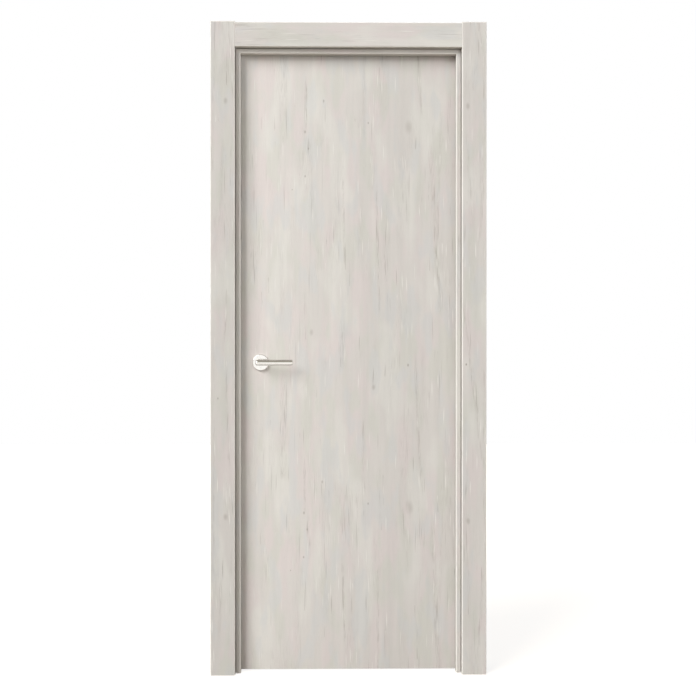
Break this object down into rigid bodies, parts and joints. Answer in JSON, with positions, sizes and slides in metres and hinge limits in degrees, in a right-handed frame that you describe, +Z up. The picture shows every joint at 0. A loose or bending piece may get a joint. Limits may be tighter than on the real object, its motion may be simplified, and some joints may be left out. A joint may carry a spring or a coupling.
{
  "type": "flush hollow core door in its frame",
  "caption": "Flush hollow core door leaf hung in a rebated frame with flat casings on both wall faces, butt hinges, tubular latch and round lever handles.",
  "frame": {"origin": "on the outer wall face of the hinge jamb, at floor level, halfway through the jamb's depth", "axes": "+Z up the frame; +X out of the hinge jamb into the wall, so the doorway lies towards -X; +Y through the wall, to the side the leaf opens to"},
  "size_m": [0.898, 0.15, 2.1245],
  "materials": {
    "decor_casing": "matt pale oak foil",
    "decor_jamb": "matt pale oak foil",
    "decor_leaf": "matt pale oak foil",
    "leaf_frame_wood": "matt pale edge foil on softwood",
    "core_board": "raw",
    "seal": "matt",
    "hinge_steel": "satin",
    "latch_steel": "satin",
    "handle_metal": "polished"
  },
  "bodies": {
    "frame": {"casing_front_left": "decor_casing", "casing_front_right": "decor_casing", "casing_front_head": "decor_casing", "casing_rear_left": "decor_casing", "casing_rear_right": "decor_casing", "casing_rear_head": "decor_casing", "jamb_hinge_side": "decor_jamb", "jamb_latch_side": "decor_jamb", "jamb_head": "decor_jamb", "seal_hinge_side": "seal", "seal_latch_side": "seal", "seal_head": "seal", "strike_plate": "latch_steel", "hinge_frame_leaf_top": "hinge_steel", "hinge_pin_top": "hinge_steel", "hinge_frame_leaf_middle": "hinge_steel", "hinge_pin_middle": "hinge_steel", "hinge_frame_leaf_bottom": "hinge_steel", "hinge_pin_bottom": "hinge_steel"},
    "leaf": {"skin_front": "decor_leaf", "skin_rear": "decor_leaf", "stile_hinge": "leaf_frame_wood", "stile_latch": "leaf_frame_wood", "rail_top": "leaf_frame_wood", "rail_bottom": "leaf_frame_wood", "lock_block": "leaf_frame_wood", "core_lattice": "core_board", "latch_case": "latch_steel", "latch_forend": "latch_steel", "latch_bolt": "latch_steel", "rosette_front": "handle_metal", "rosette_rear": "handle_metal", "hinge_door_leaf_top": "hinge_steel", "hinge_door_leaf_middle": "hinge_steel", "hinge_door_leaf_bottom": "hinge_steel"},
    "handles": {"lever_front": "handle_metal", "lever_rear": "handle_metal", "spindle": "latch_steel", "latch_follower": "latch_steel"}
  },
  "joints": [
    {"name": "leaf_swing", "type": "hinge", "parent": "frame", "child": "leaf", "pos_m": [-0.0225, 0.043, 1.02], "axis": [0, 0, -1], "range_deg": [0, 170]},
    {"name": "lever_turn", "type": "hinge", "parent": "leaf", "child": "handles", "pos_m": [-0.676, 0.015, 1.016], "axis": [0, 1, 0], "range_deg": [0, 40], "stiffness_Nm_per_rad": 1.5, "springref_deg": -20.05}
  ]
}
